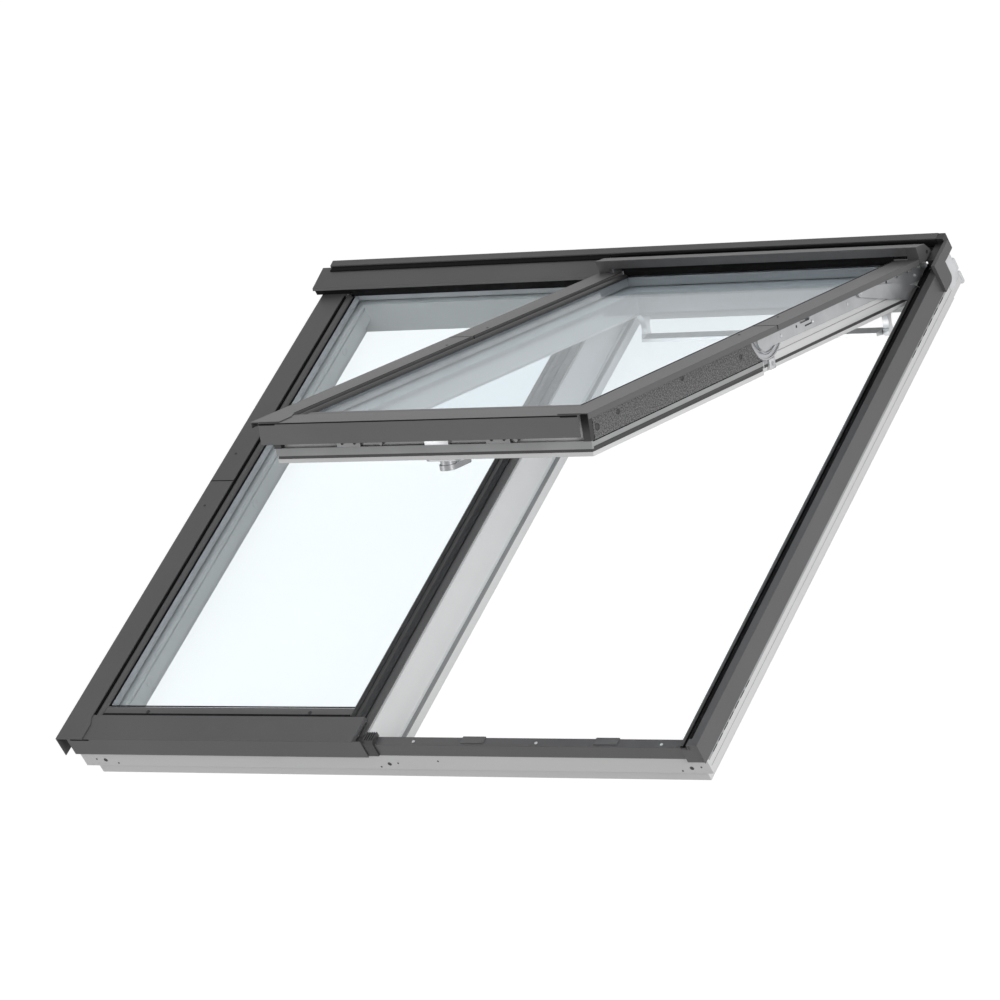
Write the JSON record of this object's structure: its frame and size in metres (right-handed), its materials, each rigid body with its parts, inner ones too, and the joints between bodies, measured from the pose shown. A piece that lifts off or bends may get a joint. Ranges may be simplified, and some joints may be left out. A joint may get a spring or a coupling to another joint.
{
  "type": "roof skylight",
  "caption": "Roof window in one frame: a fixed light beside a top-hung sash raised on lift arms, which can also flip on curved centre pivots.",
  "frame": {"origin": "on the room-side face of the frame, on the dividing line between the two lights, at half the frame's height", "axes": "+X across the roof towards the opening light, +Y up the slope, +Z out of the roof"},
  "size_m": [1.3185, 1.2, 0.6695],
  "materials": {
    "white_wood": "satin white paint",
    "grey_covers": "matt dark grey lacquer",
    "pane_glass": "clear",
    "spacer_metal": "matt",
    "black_rubber": "matt",
    "black_plastic": "matt",
    "grey_plastic": "matt dark grey",
    "bright_steel": "zinc plated",
    "grey_felt": "felted",
    "light_plastic": "matt",
    "handle_metal": "satin"
  },
  "bodies": {
    "frame": {"frame_left_stile": "white_wood", "frame_right_stile": "white_wood", "frame_head": "white_wood", "frame_sill": "white_wood", "frame_mullion": "white_wood", "fixed_inner_pane": "pane_glass", "fixed_outer_pane": "pane_glass", "fixed_spacer": "spacer_metal", "fixed_bead_left": "grey_covers", "fixed_bead_right": "black_rubber", "fixed_bead_bottom": "grey_covers", "fixed_side_cover_lower": "grey_covers", "fixed_side_cover_upper": "grey_covers", "left_frame_cover": "grey_covers", "fixed_bottom_cover": "grey_covers", "fixed_hood": "grey_covers", "top_cover": "grey_covers", "right_side_cover": "grey_covers", "right_end_cap": "grey_plastic", "corner_plate": "grey_covers", "corner_block": "black_plastic", "sill_cover": "grey_covers", "lock_keeps": "grey_covers", "mullion_profile": "grey_covers", "mullion_end_cap": "black_plastic", "frame_seal": "black_rubber", "hinge_brackets": "bright_steel", "fixed_bead_top": "black_rubber", "right_wall_seal": "black_rubber"},
    "lift_arms": {"lift_arm_left": "bright_steel", "lift_arm_right": "bright_steel", "pivot_tracks": "bright_steel", "sash_hood": "grey_covers", "hood_end_caps": "grey_plastic", "upper_cover_left": "grey_covers", "upper_cover_right": "grey_covers"},
    "spring_levers": {"spring_lever_left": "bright_steel", "spring_lever_right": "bright_steel"},
    "sash": {"sash_left_stile": "white_wood", "sash_right_stile": "white_wood", "sash_bottom_rail": "white_wood", "sash_top_rail": "white_wood", "sash_inner_pane": "pane_glass", "sash_outer_pane": "pane_glass", "sash_spacer": "spacer_metal", "sash_seal": "black_rubber", "sash_bottom_bead": "grey_covers", "sash_bottom_cover": "grey_covers", "lower_cover_left": "grey_covers", "lower_cover_right": "grey_covers", "insulation_strips": "grey_felt", "sash_edge_strip": "light_plastic", "sash_gasket": "black_rubber", "sash_corner_blocks": "black_plastic", "pivot_shoes": "bright_steel", "lock_bolts": "bright_steel", "handle_base": "handle_metal", "vent_bar_brackets": "handle_metal"},
    "handle": {"handle_grip": "handle_metal"},
    "vent_bar": {"vent_bar": "handle_metal"}
  },
  "joints": [
    {"name": "top_hinge", "type": "hinge", "parent": "frame", "child": "lift_arms", "pos_m": [0.314, 0.577, 0.064], "axis": [-1, 0, 0], "range_deg": [-29.5, 15.5]},
    {"name": "lever_hinge", "type": "hinge", "parent": "frame", "child": "spring_levers", "pos_m": [0.314, 0.53, 0.05], "axis": [-1, 0, 0], "range_deg": [-34.5, 18.2]},
    {"name": "centre_pivot", "type": "hinge", "parent": "lift_arms", "child": "sash", "pos_m": [0.314, 0.09851, 0.37378], "axis": [-1, 0, 0], "range_deg": [0, 150]},
    {"name": "handle_turn", "type": "hinge", "parent": "sash", "child": "handle", "pos_m": [0.314, -0.40649, 0.55954], "axis": [0, 0.4924, 0.8704], "range_deg": [0, 90]},
    {"name": "vent_bar_tilt", "type": "hinge", "parent": "sash", "child": "vent_bar", "pos_m": [0.314, 0.46915, 0.02161], "axis": [1, 0, 0], "range_deg": [0, 30]}
  ],
  "couplings": [
    {"joint": "lever_hinge", "follows": "top_hinge", "ratio": 1.16}
  ]
}
